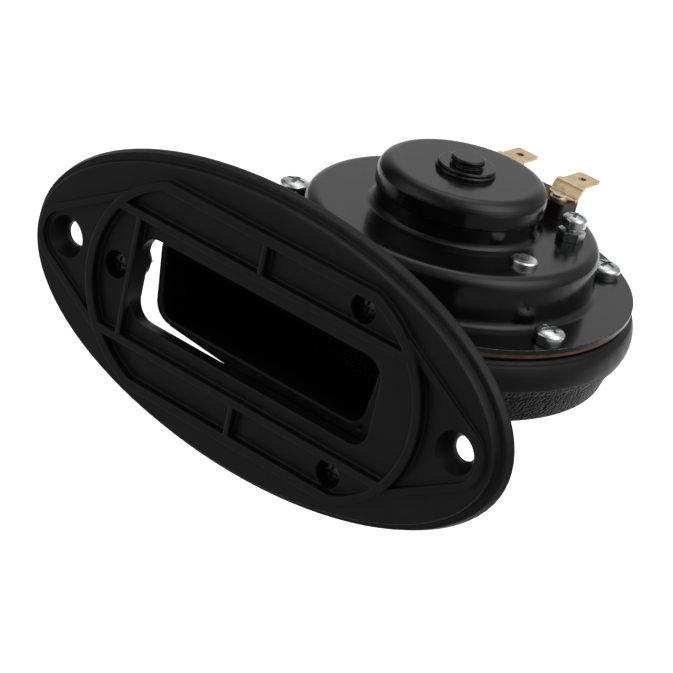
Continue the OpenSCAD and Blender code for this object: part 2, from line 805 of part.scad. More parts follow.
module pole_core() color("#141414") on_horn() rotate_extrude() polygon([
    [0, pole_z], [foot_r, pole_z], [foot_r, foot_top], [core_r, foot_top], [core_r, dome_under],
    [stud_r, dome_under], [stud_r, dome_z + stud_h - 1.9], [stud_r - 0.5, dome_z + stud_h - 1.7],
    [stud_r - 0.5, dome_z + stud_h - 1.4], [stud_r, dome_z + stud_h - 1.2],
    [stud_r, dome_z + stud_h - 0.3], [stud_r - 0.3, dome_z + stud_h], [0, dome_z + stud_h]
]);

// Ring round the stud
module stud_ring(z, t, r) {
    on_horn() translate([0, 0, z]) rotate_extrude() polygon([
        [stud_r, 0], [r, 0], [r, t - 0.25], [r - 0.25, t], [stud_r, t]
    ]);
}

module core_washer() color("#101010") stud_ring(dome_z, core_washer_t, core_nut_r);

module core_nut() color("#121212") stud_ring(dome_z + core_washer_t, core_nut_t, core_nut_r - 0.3);

bobbin_top_r = dome_r - dome_corner;
bobbin_in = core_r + 0.15;

module coil_bobbin() color("#d9d4c3") on_horn() rotate_extrude() polygon([
    [bobbin_in, foot_top], [bobbin_r, foot_top], [bobbin_r, foot_top + bobbin_wall],
    [bobbin_in + bobbin_wall, foot_top + bobbin_wall], [bobbin_in + bobbin_wall, dome_under - bobbin_wall],
    [bobbin_top_r, dome_under - bobbin_wall], [bobbin_top_r, dome_under], [bobbin_in, dome_under]
]);

module coil_winding() color("#a4552a") on_horn() difference() {
    translate([0, 0, foot_top + bobbin_wall])
        cylinder(h = dome_under - foot_top - 2 * bobbin_wall, r = bobbin_top_r - 0.4);
    translate([0, 0, foot_top]) cylinder(h = dome_under - foot_top, r = bobbin_in + bobbin_wall);
}

module armature() color("#74787c") on_horn() rotate_extrude() polygon([
    [0, armature_stud_z], [armature_stud_r, armature_stud_z],
    [armature_stud_r, dish_z + diaphragm_t], [hub_r, dish_z + diaphragm_t], [hub_r, armature_bottom],
    [armature_r, armature_bottom], [armature_r, armature_top], [0, armature_top]
]);

module armature_washer() color("#b4b8ba") on_horn() translate([0, 0, washer_z]) difference() {
    cylinder(h = armature_washer_t, r = armature_washer_r);
    translate([0, 0, -over]) cylinder(h = armature_washer_t + 2 * over, r = armature_stud_r);
}

module armature_nut() color("#b4b8ba") on_horn() translate([0, 0, armature_nut_z])
    nut(armature_nut_af, armature_nut_h, armature_stud_r);

// Places a child on the breaker's rivet, with Y along the leaves
module at_rivet(z) {
    on_horn() translate([rivet_at[0], rivet_at[1], z]) children();
}

module breaker_rivet() color("#dcdfe0") at_rivet(0) {
    edge = 0.3;
    translate([0, 0, step_z]) rotate_extrude() polygon([
        [0, 0], [rivet_head_r, 0], [rivet_head_r, rivet_head_h - edge],
        [rivet_head_r - edge, rivet_head_h], [0, rivet_head_h]
    ]);
    translate([0, 0, rivet_tail_z - over]) cylinder(h = step_z - rivet_tail_z + 2 * over, r = rivet_r);
    translate([0, 0, rivet_tail_z - rivet_tail_t]) cylinder(h = rivet_tail_t, r = insulator_r - 0.6);
}

// Insulating ring on the rivet
module insulator(z, t) {
    at_rivet(z) difference() {
        cylinder(h = t, r = insulator_r);
        translate([0, 0, -over]) cylinder(h = t + 2 * over, r = rivet_r + 0.05);
    }
}

module breaker_insulators() color("#8a3b1e") {
    insulator(step_under - upper_insulator_t, upper_insulator_t);
    insulator(fixed_top, middle_insulator_t);
    insulator(rivet_tail_z, lower_insulator_t);
}

// Leaf that leans from the rivet to the tone screw and ends just past it
module fixed_arm() color("#b79a4b") at_rivet(fixed_bottom) {
    aim = tone_at - rivet_at;
    linear_extrude(fixed_t) difference() {
        union() {
            circle(leaf_w / 2);
            polygon(wall_outline([[0, 0], aim], leaf_w * 0.8));
            translate(aim) circle(leaf_w / 2);
        }
        circle(rivet_r + 0.05);
    }
}

// Height where the two contacts meet
contact_z = (moving_bottom + fixed_top) / 2;

module fixed_contact() color("#e2e4e6") at_rivet(fixed_top)
    translate([0, contact_reach, 0]) cylinder(h = contact_z - fixed_top - turning_gap / 2, r = contact_r);

module moving_contact() color("#e2e4e6") at_rivet(contact_z + turning_gap / 2)
    translate([0, contact_reach, 0]) cylinder(h = moving_bottom - contact_z - turning_gap / 2, r = contact_r);

// Spring leaf with a finger that steps down and in over the armature's edge
module moving_arm() color("#c6a655") at_rivet(0) {
    inner_x = finger_outer - rivet_at[0];
    tip_y = contact_reach + 2.4;
    translate([0, 0, moving_bottom]) linear_extrude(moving_t) difference() {
        union() {
            circle(leaf_w / 2);
            translate([-leaf_w / 2, 0]) square([leaf_w, tip_y]);
            translate([inner_x, finger_reach - finger_w / 2]) square([-inner_x, finger_w]);
        }
        circle(rivet_r + leaf_play);
    }
    translate([inner_x, finger_reach - finger_w / 2, finger_z]) {
        cube([moving_t, finger_w, moving_top - finger_z]);
        translate([finger_inner - finger_outer, 0, 0]) cube([finger_outer - finger_inner, finger_w, moving_t]);
    }
}

module push_pad() color("#70402a") at_rivet(pad_z)
    translate([finger_inner - rivet_at[0], finger_reach - finger_w / 2, 0])
        cube([armature_r - finger_inner + 0.6, finger_w, pad_t]);

// Places a child on the tone screw's axis
module at_tone(z) {
    on_horn() translate([tone_at[0], tone_at[1], z]) children();
}

tone_head_z = step_z + lock_nut_h + tone_head_gap;
tone_tip_z = fixed_top + turning_gap;

module tone_screw() color("#c9d2d0") {
    at_tone(tone_head_z) rotate(20) pan_head(tone_head_d, tone_head_h);
    at_tone(tone_tip_z) cylinder(h = tone_head_z - tone_tip_z + over, r = tone_d / 2);
}

module lock_nut() color("#b9c6c3") at_tone(step_z + turning_gap) rotate(34)
    nut(lock_nut_af, lock_nut_h - 2 * turning_gap, tone_d / 2 + running_gap);

module terminal_block() color("#241a1c") on_horn() difference() {
    translate([block_x, block_y + block_d / 2, step_z]) linear_extrude(block_h)
        rounded_rect(block_w, block_d, 1);
    for (x = terminal_x) translate([x, terminal_rivet_y, step_z - over])
        cylinder(h = block_h + 2 * over, r = terminal_rivet_r + 0.05, $fn = 32);
}

// Spade terminal bent from one strip: a foot on the block, a riser and a blade to the back
module terminal(x, drop, short) {
    foot_mid = block_top + blade_t / 2;
    blade_mid = foot_mid + terminal_rise - drop;
    turn = min(bend_r, (blade_mid - foot_mid) / 2 - 0.02);
    end_y = riser_y + blade_t / 2 + blade_l - short;
    corner = 0.6;
    line = concat(
        [[terminal_foot_y, foot_mid]],
        arc([riser_y - turn, foot_mid + turn], turn, -90, 0, 5),
        arc([riser_y + turn, blade_mid - turn], turn, 180, 90, 5),
        [[end_y, blade_mid]]
    );
    on_horn() translate([x, 0, 0]) difference() {
        intersection() {
            translate([-terminal_foot_w / 2, 0, 0]) rotate([90, 0, 90])
                linear_extrude(terminal_foot_w) polygon(wall_outline(line, blade_t));
            translate([0, 0, step_z]) linear_extrude(blade_mid) polygon([
                [-terminal_foot_w / 2, terminal_foot_y - over], [terminal_foot_w / 2, terminal_foot_y - over],
                [terminal_foot_w / 2, riser_y], [blade_w / 2, riser_y + 1],
                [blade_w / 2, end_y - corner], [blade_w / 2 - corner, end_y],
                [corner - blade_w / 2, end_y], [-blade_w / 2, end_y - corner],
                [-blade_w / 2, riser_y + 1], [-terminal_foot_w / 2, riser_y]
            ]);
        }
        translate([0, terminal_rivet_y, block_top - over])
            cylinder(h = blade_t + 2 * over, r = terminal_rivet_r + 0.05, $fn = 32);
        translate([0, end_y - 3.8, blade_mid - blade_t]) cylinder(h = blade_t * 2, r = 0.85, $fn = 32);
    }
}

module terminal_left() color("#d8c38a") terminal(terminal_x[0], left_drop, left_short);

module terminal_right() color("#d8c38a") terminal(terminal_x[1], 0, 0);

terminal_washer_t = 1;

module terminal_rivets() color("#cfd2d4") on_horn() for (x = terminal_x)
    translate([x, terminal_rivet_y, 0]) {
        tail_z = step_under - terminal_washer_t;
        head_z = block_top + blade_t;
        translate([0, 0, head_z]) cylinder(h = 0.7, r = terminal_head_r);
        translate([0, 0, tail_z - over]) cylinder(h = head_z - tail_z + 2 * over, r = terminal_rivet_r);
        translate([0, 0, tail_z - 0.8]) cylinder(h = 0.8, r = terminal_rivet_r + 0.9);
    }

module terminal_insulators() color("#8a3b1e") on_horn() for (x = terminal_x)
    translate([x, terminal_rivet_y, step_under - terminal_washer_t]) difference() {
        cylinder(h = terminal_washer_t, r = terminal_rivet_r + 1.9);
        translate([0, 0, -over]) cylinder(h = terminal_washer_t + 2 * over, r = terminal_rivet_r + 0.05);
    }

flange_plate();
plate_screws();
plate_nuts();
trumpet_shell();
throat_plate();
lower_gasket();
diaphragm();
upper_gasket();
housing();
rim_screws();
raised_rim_screw();
rim_spacer();
pole_core();
core_washer();
core_nut();
coil_bobbin();
coil_winding();
armature();
armature_washer();
armature_nut();
breaker_rivet();
breaker_insulators();
fixed_arm();
fixed_contact();
moving_arm();
moving_contact();
push_pad();
tone_screw();
lock_nut();
terminal_block();
terminal_left();
terminal_right();
terminal_rivets();
terminal_insulators();
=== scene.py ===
import math

import bmesh
import bpy
from mathutils import Matrix, Vector
from mathutils.geometry import delaunay_2d_cdt


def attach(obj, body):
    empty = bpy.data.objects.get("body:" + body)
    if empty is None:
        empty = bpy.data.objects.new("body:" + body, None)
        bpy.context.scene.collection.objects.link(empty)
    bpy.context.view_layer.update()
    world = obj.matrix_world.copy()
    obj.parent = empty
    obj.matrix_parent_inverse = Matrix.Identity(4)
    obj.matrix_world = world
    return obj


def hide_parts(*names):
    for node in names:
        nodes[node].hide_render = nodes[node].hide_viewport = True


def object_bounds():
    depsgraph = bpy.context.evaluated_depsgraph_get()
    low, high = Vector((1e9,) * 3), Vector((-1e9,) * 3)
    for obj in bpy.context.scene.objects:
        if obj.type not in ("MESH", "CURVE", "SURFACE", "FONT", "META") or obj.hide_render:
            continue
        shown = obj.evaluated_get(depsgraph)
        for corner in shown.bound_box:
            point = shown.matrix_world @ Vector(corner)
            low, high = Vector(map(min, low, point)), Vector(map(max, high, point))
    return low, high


# Boat horn on white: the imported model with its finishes, the fine trim and a soft studio

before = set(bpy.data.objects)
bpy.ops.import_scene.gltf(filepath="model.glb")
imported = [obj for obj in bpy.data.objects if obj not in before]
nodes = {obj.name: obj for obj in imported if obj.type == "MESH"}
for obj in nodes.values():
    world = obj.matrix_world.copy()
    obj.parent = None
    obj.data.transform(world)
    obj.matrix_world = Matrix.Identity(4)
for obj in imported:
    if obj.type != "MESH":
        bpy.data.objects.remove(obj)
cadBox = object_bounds()
print("frame loaded:", len(nodes), "nodes")


# camera

view = {
    "azimuth": 34.035,         # degrees round from straight ahead, seen from the right
    "elevation": 24.706,
    "roll": 12.915,
    "distance": 0.6878,        # metres, from the point on the axis
    "sideways": -0.01928,      # where the picture's centre lies from that point
    "upwards": -0.00084,
    "plateBack": 0.00485,      # the point is this far in front of the mounting face
    "lens": 161.64,
    "sensor": 36.0,
    "near": 0.01,
    "far": 20,
}


def makeCamera():
    az, el, roll = (math.radians(view[k]) for k in ("azimuth", "elevation", "roll"))
    back = Vector((math.sin(az) * math.cos(el), -math.cos(az) * math.cos(el), math.sin(el)))
    level = Vector((math.cos(az), math.sin(az), 0))
    rise = back.cross(level)
    right = math.cos(roll) * level + math.sin(roll) * rise
    up = -math.sin(roll) * level + math.cos(roll) * rise
    place = back * view["distance"] - right * view["sideways"] - up * view["upwards"]
    place.y -= view["plateBack"]
    cam = bpy.data.objects.new("camera", bpy.data.cameras.new("camera"))
    cam.data.lens = view["lens"]
    cam.data.sensor_width = view["sensor"]
    cam.data.clip_start = view["near"]
    cam.data.clip_end = view["far"]
    cam.matrix_world = Matrix.Translation(place) @ Matrix((right, up, back)).transposed().to_4x4()
    bpy.context.collection.objects.link(cam)
    bpy.context.scene.camera = cam
    return back


towardCamera = makeCamera()
print("camera placed")


# nodes for the materials

def newMaterial(name):
    mat = bpy.data.materials.new(name)
    mat.use_nodes = True
    tree = mat.node_tree
    return mat, tree, tree.nodes["Principled BSDF"]


def addNode(tree, kind, **inputs):
    node = tree.nodes.new(kind)
    for key, value in inputs.items():
        node.inputs[key].default_value = value
    return node


def placeOf(tree):
    return tree.nodes.new("ShaderNodeTexCoord").outputs["Object"]


def noiseOf(tree, scale, detail=4.0, rough=0.55):
    noise = addNode(tree, "ShaderNodeTexNoise", Scale=scale, Detail=detail, Roughness=rough)
    tree.links.new(placeOf(tree), noise.inputs["Vector"])
    return noise.outputs["Fac"]


def cellsOf(tree, scale):
    # distance to the middle of the nearest cell, in cells
    cells = addNode(tree, "ShaderNodeTexVoronoi", Scale=scale)
    tree.links.new(placeOf(tree), cells.inputs["Vector"])
    return cells.outputs["Distance"]


def ramp(tree, source, stops):
    node = tree.nodes.new("ShaderNodeValToRGB")
    for mark, (at, colour) in zip(node.color_ramp.elements, stops):
        mark.position = at
        mark.color = (*colour, 1)
    tree.links.new(source, node.inputs["Fac"])
    return node.outputs["Color"]


def span(tree, source, low, high, fromLow=0.3, fromHigh=0.7):
    node = tree.nodes.new("ShaderNodeMapRange")
    node.inputs["From Min"].default_value = fromLow
    node.inputs["From Max"].default_value = fromHigh
    node.inputs["To Min"].default_value = low
    node.inputs["To Max"].default_value = high
    tree.links.new(source, node.inputs["Value"])
    return node.outputs["Result"]


def mathNode(tree, kind, *sources):
    node = tree.nodes.new("ShaderNodeMath")
    node.operation = kind
    for socket, source in zip(node.inputs, sources):
        if isinstance(source, (int, float)):
            socket.default_value = source
        else:
            tree.links.new(source, socket)
    return node.outputs["Value"]


def dotOf(tree, source, other):
    node = tree.nodes.new("ShaderNodeVectorMath")
    node.operation = "DOT_PRODUCT"
    tree.links.new(source, node.inputs[0])
    if isinstance(other, Vector):
        node.inputs[1].default_value = tuple(other)
    else:
        tree.links.new(other, node.inputs[1])
    return node.outputs["Value"]


def mixed(tree, share, colour, other):
    node = tree.nodes.new("ShaderNodeMix")
    node.data_type = "RGBA"
    tree.links.new(share, node.inputs["Factor"])
    tree.links.new(colour, node.inputs["A"])
    node.inputs["B"].default_value = (*other, 1)
    return node.outputs["Result"]


def roundedNormal(tree, radius):
    # the surface's direction, with sharp edges rounded to this radius
    bevel = tree.nodes.new("ShaderNodeBevel")
    bevel.samples = 6
    bevel.inputs["Radius"].default_value = radius
    return bevel.outputs["Normal"]


def bumpOf(tree, shader, height, depth, strength=1.0, under=None):
    bump = tree.nodes.new("ShaderNodeBump")
    bump.inputs["Strength"].default_value = strength
    bump.inputs["Distance"].default_value = depth
    tree.links.new(height, bump.inputs["Height"])
    if under:
        tree.links.new(under, bump.inputs["Normal"])
    tree.links.new(bump.outputs["Normal"], shader.inputs["Normal"])
    return bump.outputs["Normal"]


# Finishes. Lengths are in metres. A noise is its scale, then where needed its detail and roughness.

def finish(name, look):
    # what all have: clouds of colour, uneven roughness, a fine texture and, if edge is set, soft edges
    mat, tree, shader = newMaterial(name)
    low, high = look["cloudStops"]
    colour = ramp(tree, noiseOf(tree, *look["cloudNoise"]), [(low, look["dark"]), (high, look["light"])])
    roughness = span(tree, noiseOf(tree, *look["roughNoise"]), *look["rough"])
    tree.links.new(colour, shader.inputs["Base Color"])
    tree.links.new(roughness, shader.inputs["Roughness"])
    shader.inputs["Specular IOR Level"].default_value = look["gleam"]
    soft = roundedNormal(tree, look["edge"]) if look["edge"] else None
    texture = noiseOf(tree, *look["fineNoise"])
    fine = bumpOf(tree, shader, texture, look["fineDepth"], look["fineStrength"], under=soft)
    return mat, tree, shader, colour, fine


satin = {
    "dark": (0.0032, 0.0032, 0.0035), "light": (0.0065, 0.0062, 0.0068),
    "cloudNoise": (90,), "cloudStops": (0.35, 0.7),
    "rough": (0.36, 0.5), "roughNoise": (260, 6),
    "gleam": 0.26, "edge": 0.0008,
    "fineNoise": (2600, 3), "fineDepth": 0.00002, "fineStrength": 0.5,
}


def satinPlastic(name):
    # moulded plate: nearly black, faint cloudiness, very fine spark-eroded texture
    mat, *_ = finish(name, satin)
    return mat


pebble = {
    "dark": (0.004, 0.004, 0.0043), "light": (0.0085, 0.0082, 0.0088),
    "cloudNoise": (120,), "cloudStops": (0.35, 0.7),
    "rough": (0.3, 0.42), "roughNoise": (300, 6),
    "gleam": 0.2, "edge": 0.0009,
    "fineNoise": (2400, 3), "fineDepth": 0.00002, "fineStrength": 0.4,
    "cells": 1200, "depth": 0.002,
    "grainTop": -0.0052, "topFade": 0.0003,      # the grain starts below this height
    "neckEnds": 0.026, "neckFade": 0.004,        # and behind the neck
}


def pebbledPlastic(name):
    # trumpet: smooth band under the rim, leather-like grain on the bowl below it
    mat, tree, shader, _, fine = finish(name, pebble)
    split = tree.nodes.new("ShaderNodeSeparateXYZ")
    tree.links.new(placeOf(tree), split.inputs["Vector"])
    top, front = pebble["grainTop"], pebble["neckEnds"]
    below = span(tree, split.outputs["Z"], 1, 0, top - pebble["topFade"], top)
    behindNeck = span(tree, split.outputs["Y"], 0, 1, front, front + pebble["neckFade"])
    where = mathNode(tree, "MULTIPLY", below, behindNeck)
    grain = mathNode(tree, "MULTIPLY", cellsOf(tree, pebble["cells"]), where)
    bumpOf(tree, shader, grain, -pebble["depth"], under=fine)
    return mat


paint = {
    "dark": (0.0025, 0.0025, 0.0027), "light": (0.005, 0.005, 0.0054),
    "cloudNoise": (60,), "cloudStops": (0.3, 0.75),
    "rough": (0.13, 0.21), "roughNoise": (500, 8, 0.7),
    "gleam": 0.36, "edge": 0.00035,
    "fineNoise": (330, 2), "fineDepth": 0.00005, "fineStrength": 0.3,
    "speck": (0.09, 0.09, 0.085), "speckEvery": 0.0075, "speckRadius": 0.00011,
    "speckSolid": 0.6,         # share of its radius in which a speck is at its full tone
    # the light grey tone below is a painted highlight along sharp edges, broken up by noise
    "edgeHighlight": (0.34, 0.33, 0.31), "edgeHighlightBevel": 0.00022, "edgeHighlightNoise": (420, 5, 0.7),
    "edgeHighlightSharp": (0.8, 0.97),  # flatness at which the painted edge highlight is full, and at which it ends
    "edgeHighlightPatches": (0.47, 0.56),
}


def specks(tree):
    size = paint["speckRadius"] / paint["speckEvery"]
    return span(tree, cellsOf(tree, 1 / paint["speckEvery"]), 1, 0, size * paint["speckSolid"], size)


def paintedEdgeHighlight(tree):
    # 1 along sharp edges, broken up by noise: where the light grey edge highlight is painted
    face = tree.nodes.new("ShaderNodeNewGeometry").outputs["True Normal"]
    flatness = dotOf(tree, roundedNormal(tree, paint["edgeHighlightBevel"]), face)
    edges = span(tree, flatness, 1, 0, *paint["edgeHighlightSharp"])
    patches = span(tree, noiseOf(tree, *paint["edgeHighlightNoise"]), 0, 1, *paint["edgeHighlightPatches"])
    return mathNode(tree, "MULTIPLY", edges, patches)


def glossPaint(name):
    # stamped steel in gloss black: slight orange peel, sparse dust, and a light grey highlight painted along
    # sharp edges
    mat, tree, shader, colour, _ = finish(name, paint)
    dusty = mixed(tree, specks(tree), colour, paint["speck"])
    # lays the painted edge highlight over the dusty colour
    tree.links.new(mixed(tree, paintedEdgeHighlight(tree), dusty, paint["edgeHighlight"]), shader.inputs["Base Color"])
    return mat


metalLook = {
    "cloudStops": (0.3, 0.7), "gleam": 0.5, "edge": 0.00015, "fineDepth": 0.00002, "fineStrength": 0.5,
    "roughDetail": 6, "fineDetail": 4,
}


def metal(name, dark, light, rough, marks=240):
    # marks is the scale of its marks: the more, the finer
    tones = {"dark": dark, "light": light, "rough": rough, "cloudNoise": (marks,)}
    tones["roughNoise"] = (marks * 3, metalLook["roughDetail"])
    tones["fineNoise"] = (marks * 8, metalLook["fineDetail"])
    mat, _, shader, *_ = finish(name, {**metalLook, **tones})
    shader.inputs["Metallic"].default_value = 1
    return mat


dullLook = {
    "cloudNoise": (700 / 3,), "cloudStops": (0.3, 0.7), "roughNoise": (700, 6), "gleam": 0.5, "edge": 0,
    "fineNoise": (1400, 5), "fineDepth": 0.00006, "fineStrength": 0.6,
}


def dull(name, dark, light, rough):
    mat, *_ = finish(name, {**dullLook, "dark": dark, "light": light, "rough": rough})
    return mat


zinc = metal("zinc", (0.5, 0.54, 0.53), (0.74, 0.78, 0.76), (0.15, 0.3))
greyZinc = metal("greyZinc", (0.42, 0.45, 0.45), (0.58, 0.61, 0.6), (0.24, 0.4))
plainSteel = metal("plainSteel", (0.4, 0.41, 0.42), (0.55, 0.56, 0.57), (0.3, 0.45))
nickel = metal("nickel", (0.74, 0.75, 0.76), (0.9, 0.9, 0.91), (0.16, 0.3))
paleBrass = metal("paleBrass", (0.64, 0.46, 0.25), (0.86, 0.67, 0.43), (0.24, 0.38), marks=420)
# near-black steel for the plate screws: painted shade, the dark of their deep counterbores put into their
# colour
shadeDarkSteel = metal("shadeDarkSteel", (0.04, 0.04, 0.042), (0.08, 0.08, 0.083), (0.34, 0.5))
springBrass = metal("springBrass", (0.6, 0.42, 0.16), (0.75, 0.56, 0.26), (0.28, 0.42))
copper = metal("copper", (0.4, 0.14, 0.06), (0.6, 0.25, 0.1), (0.3, 0.45), marks=900)
aluminium = metal("aluminium", (0.5, 0.51, 0.53), (0.66, 0.67, 0.68), (0.3, 0.5))
fibre = dull("fibre", (0.1, 0.032, 0.011), (0.26, 0.095, 0.034), (0.5, 0.7))
gasketRubber = dull("gasketRubber", (0.012, 0.011, 0.01), (0.026, 0.024, 0.021), (0.6, 0.8))
phenolic = dull("phenolic", (0.016, 0.008, 0.01), (0.034, 0.018, 0.02), (0.4, 0.55))
nylon = dull("nylon", (0.6, 0.54, 0.4), (0.75, 0.69, 0.55), (0.35, 0.5))
laminate = dull("laminate", (0.22, 0.06, 0.03), (0.36, 0.12, 0.06), (0.5, 0.7))
blackPaint = glossPaint("stampedGloss")

finishes = {
    "flange_plate": satinPlastic("plateSatin"),
    "trumpet_shell": pebbledPlastic("trumpetBlack"),
    "housing": blackPaint, "pole_core": blackPaint, "core_washer": blackPaint, "core_nut": blackPaint,
    "rim_screws": zinc, "raised_rim_screw": zinc, "tone_screw": zinc,
    "lock_nut": greyZinc, "rim_spacer": greyZinc, "plate_nuts": greyZinc,
    "armature_washer": greyZinc, "armature_nut": greyZinc, "plate_screws": shadeDarkSteel,
    "diaphragm": plainSteel, "armature": plainSteel, "throat_plate": aluminium,
    "breaker_rivet": nickel, "terminal_rivets": nickel, "fixed_contact": nickel, "moving_contact": nickel,
    "terminal_left": paleBrass, "terminal_right": paleBrass,
    "fixed_arm": springBrass, "moving_arm": springBrass, "coil_winding": copper,
    "upper_gasket": fibre, "push_pad": fibre, "lower_gasket": gasketRubber,
    "terminal_block": phenolic, "coil_bobbin": nylon,
    "breaker_insulators": laminate, "terminal_insulators": laminate,
}
for name, obj in nodes.items():
    obj.data.materials.clear()
    obj.data.materials.append(finishes[name])
print("finishes given to", len(finishes), "nodes")


# pieces of the scene's own

def addPiece(name, mesh, body, slot, mat, *stoodFor):
    obj = bpy.data.objects.new(name, mesh)
    bpy.context.collection.objects.link(obj)
    mesh.materials.clear()
    mesh.materials.append(mat)
    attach(obj, body)
    if stoodFor:
        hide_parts(*stoodFor)
    return obj


def smoothMesh(name, bm, angle=38):
    # the finished mesh, shaded smooth but for edges sharper than angle
    bmesh.ops.recalc_face_normals(bm, faces=bm.faces)
    mesh = bpy.data.meshes.new(name)
    bm.to_mesh(mesh)
    for face in mesh.polygons:
        face.use_smooth = True
    mesh.set_sharp_from_angle(angle=math.radians(angle))
    return mesh


hornY = 0.06665                # the disc horn's axis lies this far behind the plate's face


# screws: the low heads stand on split lock washers, and the tone screw's head is a deep one

screws = {
    "flangeTop": 0.005, "ring": 0.0425, "firstTurn": -16.3, "pitch": 70,
    "lowHeads": (0, 1, 2, 4),  # number 3 is the raised one, on its spacer
    "washerHeight": 0.001, "washerIn": 0.0022, "washerOut": 0.0034, "washerSag": 0.00012, "steps": 44,
    "gap": 7, "gapTurn": 90, "gapTurnStep": 50,
    "toneHeadBase": 0.02195, "toneHeadDrop": 0.0011,
    "tolerance": 0.00005,
}


def movedCopy(node, name, body, mat, moves):
    # the node's own mesh, with the points that moves() picks lifted or dropped
    mesh = nodes[node].data.copy()
    for point in mesh.vertices:
        point.co.z += moves(point.co)
    mesh.update()
    return addPiece(name, mesh, body, node, mat, node)


def splitWasher(bm, centre, turn):
    s = screws
    low, high = s["flangeTop"], s["flangeTop"] + s["washerHeight"]
    rings = []
    for i in range(s["steps"] + 1):
        share = i / s["steps"]
        a = math.radians(turn + s["gap"] / 2 + (360 - s["gap"]) * share)
        top = high - s["washerSag"] * (1 - abs(2 * share - 1))
        corners = ((s["washerIn"], low), (s["washerOut"], low), (s["washerOut"], top), (s["washerIn"], top))
        spots = [Vector((r * math.cos(a), r * math.sin(a), z)) for r, z in corners]
        rings.append([bm.verts.new(centre + spot) for spot in spots])
    for one, two in zip(rings, rings[1:]):
        for i in range(4):
            bm.faces.new((one[i], two[i], two[(i + 1) % 4], one[(i + 1) % 4]))
    bm.faces.new(rings[0])
    bm.faces.new(reversed(rings[-1]))


def makeScrews():
    s = screws

    def headLift(co):
        return s["washerHeight"] if co.z > s["flangeTop"] - s["tolerance"] else 0

    def baseDrop(co):
        return -s["toneHeadDrop"] if abs(co.z - s["toneHeadBase"]) < s["tolerance"] else 0

    movedCopy("rim_screws", "rimHeads", "horn", zinc, headLift)
    movedCopy("tone_screw", "toneHead", "tone_screw", zinc, baseDrop)
    bm = bmesh.new()
    for i in s["lowHeads"]:
        a = math.radians(s["firstTurn"] + s["pitch"] * i)
        centre = Vector((s["ring"] * math.cos(a), hornY + s["ring"] * math.sin(a), 0))
        splitWasher(bm, centre, s["gapTurn"] + s["gapTurnStep"] * i)
    addPiece("rimLockWashers", smoothMesh("rimLockWashers", bm), "horn", "rim_screws", greyZinc)


makeScrews()
print("screws made")


# spade terminals: one strip each, cut flat with its holes and then bent up in a soft S

spade = {
    "thick": 0.0008, "footWidth": 0.0082, "bladeWidth": 0.00635, "corner": 0.0004,
    "tongue": 0.0023,          # radius of the foot's round end
    "tongueFrom": 8, "tongueStep": 10,           # degrees round that end
    "tongueEnds": 0.3,         # share of the way from the rivet to the first bend
    "shoulder": 0.0006,        # slope between the tongue and the foot's full width
    "neckFront": 0.0003, "neckBack": 0.0004,     # the foot narrows to the blade between these
    "rivetHole": 0.00125, "detent": 0.00105, "detentFromEnd": 0.0038, "holeSides": 28,
    "bendStart": 0.0009,       # from the rivet to the first bend
    "bendRadius": 0.0019, "bendTurn": 60,
    "footMid": 0.02165, "rivetY": 0.0265 + hornY,
    "mesh": 0.0003, "meshClear": 0.6,            # grid step, and the share of it kept clear of edges
    "holeShare": 0.99,         # a triangle nearer than this share of a hole's radius lies in the hole
    "cutPrecision": 1e-7,
    "left": {"x": -0.0069, "mid": 0.02375, "end": 0.038 + hornY},
    "right": {"x": 0.0116, "mid": 0.02455, "end": 0.0392 + hornY},
}


def bendPath(side):
    # turns a distance from the rivet into a place on the bent middle line and its slope
    r, turn = spade["bendRadius"], math.radians(spade["bendTurn"])
    rise = side["mid"] - spade["footMid"]
    straight = (rise - 2 * r * (1 - math.cos(turn))) / math.sin(turn)
    first = spade["bendStart"]
    second = first + r * turn
    third = second + straight
    fourth = third + r * turn
    y0, z0 = spade["rivetY"] + first, spade["footMid"]
    y1, z1 = y0 + r * math.sin(turn), z0 + r * (1 - math.cos(turn))
    y2 = y1 + straight * math.cos(turn)
    y3 = y2 + r * math.sin(turn)

    def place(u):
        if u < first:
            return y0 - first + u, z0, 0
        if u < second:
            a = (u - first) / r
            return y0 + r * math.sin(a), z0 + r * (1 - math.cos(a)), a
        if u < third:
            return y1 + (u - second) * math.cos(turn), z1 + (u - second) * math.sin(turn), turn
        if u < fourth:
            a = turn - (u - third) / r
            return y3 - r * math.sin(a), side["mid"] - r * (1 - math.cos(a)), a
        return y3 + u - fourth, side["mid"], 0

    return place, fourth, fourth + side["end"] - y3


def flatCut(bladeStart, end):
    # outline of the flat strip: half of it from the tongue's front to the blade's end, then mirrored
    wide, narrow, corner = spade["footWidth"] / 2, spade["bladeWidth"] / 2, spade["corner"]
    tongue, bend, shoulder = spade["tongue"], spade["bendStart"], spade["shoulder"]
    turns = [math.radians(a) for a in range(spade["tongueFrom"], 90, spade["tongueStep"])]
    half = [(-tongue * math.cos(a), tongue * math.sin(a)) for a in turns]
    half += [(bend * spade["tongueEnds"], tongue), (bend, wide - shoulder), (bend + shoulder, wide)]
    half += [(bladeStart - spade["neckFront"], wide), (bladeStart + spade["neckBack"], narrow)]
    half += [(end - corner, narrow), (end, narrow - corner)]
    return half + [(u, -v) for u, v in reversed(half)]


def inside(point, loop):
    within = False
    for (u0, v0), (u1, v1) in zip(loop, loop[1:] + loop[:1]):
        crosses = (v0 > point[1]) != (v1 > point[1])
        if crosses and point[0] < u0 + (point[1] - v0) * (u1 - u0) / (v1 - v0):
            within = not within
    return within


def finer(loop, step):
    dense = []
    for a, b in zip(loop, loop[1:] + loop[:1]):
        parts = max(1, round(math.dist(a, b) / step))
        dense += [(a[0] + (b[0] - a[0]) * i / parts, a[1] + (b[1] - a[1]) * i / parts) for i in range(parts)]
    return dense


